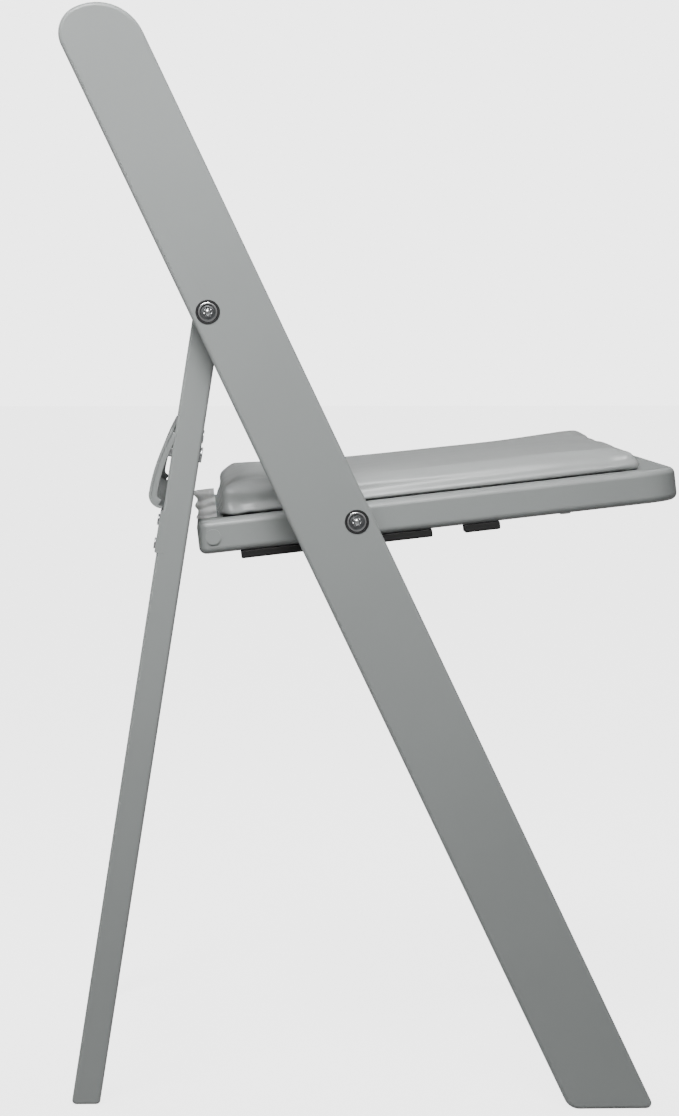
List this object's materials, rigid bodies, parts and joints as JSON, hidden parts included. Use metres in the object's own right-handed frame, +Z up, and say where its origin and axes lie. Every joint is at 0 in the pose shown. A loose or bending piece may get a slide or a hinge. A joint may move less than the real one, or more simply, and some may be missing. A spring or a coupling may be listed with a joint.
{
  "type": "folding chair",
  "caption": "Folding chair with wide leaning side rails, slim hinged rear legs, bowed back slats and a padded vinyl seat.",
  "frame": {"origin": "on the floor, at the middle of the chair's plan box", "axes": "+Z up, -Y the way the sitter faces, +X the sitter's left"},
  "size_m": [0.4506, 0.4435, 0.7836],
  "materials": {
    "grey_resin": "satin moulded resin",
    "painted_sheet": "satin grey paint",
    "grey_vinyl": "soft sheen vinyl",
    "bright_steel": "zinc plated",
    "black_plastic": "black nylon",
    "black_rubber": "matt black rubber",
    "birch_ply": "raw birch",
    "black_board": "plywood stained black",
    "white_film": "blank white sewn tag"
  },
  "bodies": {
    "frame": {"right_side_rail": "grey_resin", "left_side_rail": "grey_resin", "front_foot_glides": "black_plastic", "top_back_slat": "grey_resin", "lower_back_slat": "grey_resin", "front_stretcher": "grey_resin", "back_slat_dowels": "birch_ply", "front_stretcher_dowels": "birch_ply", "upper_pivot_bolts": "bright_steel", "upper_pivot_rings": "black_plastic", "upper_pivot_spacers": "black_plastic", "upper_pivot_nuts": "bright_steel", "seat_pivot_bolts": "bright_steel", "seat_pivot_rings": "black_plastic", "seat_pivot_spacers": "grey_resin", "seat_pivot_nuts": "bright_steel"},
    "rear_legs": {"right_rear_leg": "grey_resin", "left_rear_leg": "grey_resin", "rear_foot_glides": "black_plastic", "rear_stretcher": "grey_resin", "rear_stretcher_dowels": "birch_ply", "rear_curved_panel": "painted_sheet", "rear_cross_rail": "painted_sheet", "rear_panel_screws": "bright_steel", "rear_panel_spacers": "grey_resin", "rear_cross_rail_screws": "bright_steel", "rear_leg_bushes": "black_plastic"},
    "seat": {"seat_frame": "grey_resin", "seat_base_board": "black_board", "seat_cushion": "grey_vinyl", "blank_tag": "white_film", "seat_runners": "black_rubber", "seat_blocks": "black_rubber", "runner_screws": "bright_steel", "board_screws": "bright_steel", "seat_rear_rod": "bright_steel", "rod_end_caps": "grey_resin", "seat_pivot_bushes": "black_plastic"}
  },
  "joints": [
    {"name": "seat_fold", "type": "hinge", "parent": "frame", "child": "seat", "pos_m": [0, 0.01381, 0.42135], "axis": [1, 0, 0], "range_deg": [0, 71]},
    {"name": "rear_leg_fold", "type": "hinge", "parent": "frame", "child": "rear_legs", "pos_m": [0, 0.11835, 0.56863], "axis": [-1, 0, 0], "range_deg": [0, 34.36]}
  ],
  "couplings": [
    {"joint": "rear_leg_fold", "follows": "seat_fold", "ratio": 0.4839}
  ]
}
